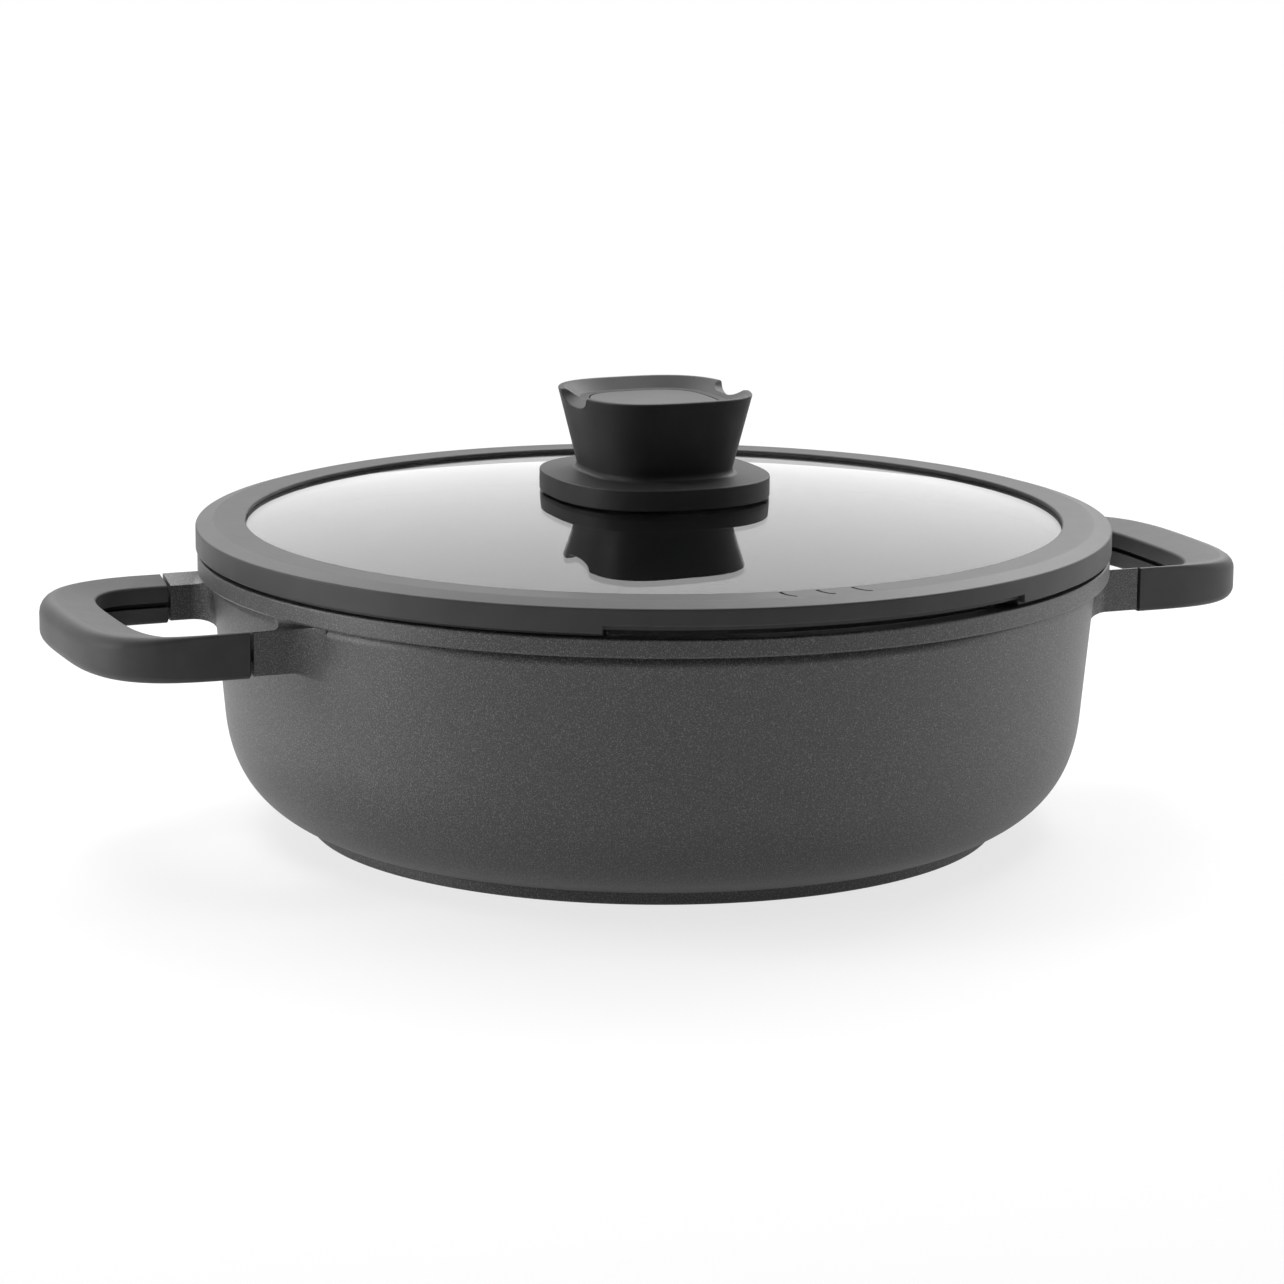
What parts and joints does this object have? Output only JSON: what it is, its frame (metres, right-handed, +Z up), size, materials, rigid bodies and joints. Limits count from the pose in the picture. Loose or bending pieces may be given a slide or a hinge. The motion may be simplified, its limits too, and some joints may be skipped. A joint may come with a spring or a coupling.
{
  "type": "sauteuse pan",
  "caption": "Low round sauteuse pan with a rounded bowl, loop side handles and a lift-off glass lid that has a silicone strainer rim and a spoon-rest knob.",
  "frame": {"origin": "on the hob, under the middle of the base", "axes": "+X towards one handle, -Y towards the strainer side of the lid, +Z up out of the pan"},
  "size_m": [0.387, 0.287, 0.1376],
  "materials": {
    "coated_casting": "dark grey speckled non-stick coating, satin",
    "base_steel": "turned steel, satin",
    "grip": "charcoal soft-touch moulding, matt",
    "strap_steel": "blackened steel",
    "screw_steel": "bright stainless steel",
    "rim_silicone": "dark grey silicone, matt",
    "lid_glass": "clear toughened glass",
    "knob_plastic": "charcoal soft-touch moulding, matt",
    "cap_plastic": "grey moulding, satin",
    "insert_brass": "turned brass",
    "gasket_silicone": "black silicone"
  },
  "bodies": {
    "pan": {"pan_body": "coated_casting", "base_disc": "base_steel", "left_grip": "grip", "right_grip": "grip", "left_core": "strap_steel", "right_core": "strap_steel", "left_front_screw": "screw_steel", "left_rear_screw": "screw_steel", "right_front_screw": "screw_steel", "right_rear_screw": "screw_steel"},
    "lid": {"lid_rim": "rim_silicone", "lid_glass": "lid_glass", "knob": "knob_plastic", "knob_cap": "cap_plastic", "knob_insert": "insert_brass", "knob_gasket": "gasket_silicone", "lower_gasket": "gasket_silicone", "knob_washer": "strap_steel", "knob_screw": "strap_steel"}
  },
  "joints": [
    {"name": "lid_lift", "type": "slide", "parent": "pan", "child": "lid", "axis": [0, 0, 1], "range_m": [0, 0.15]}
  ]
}
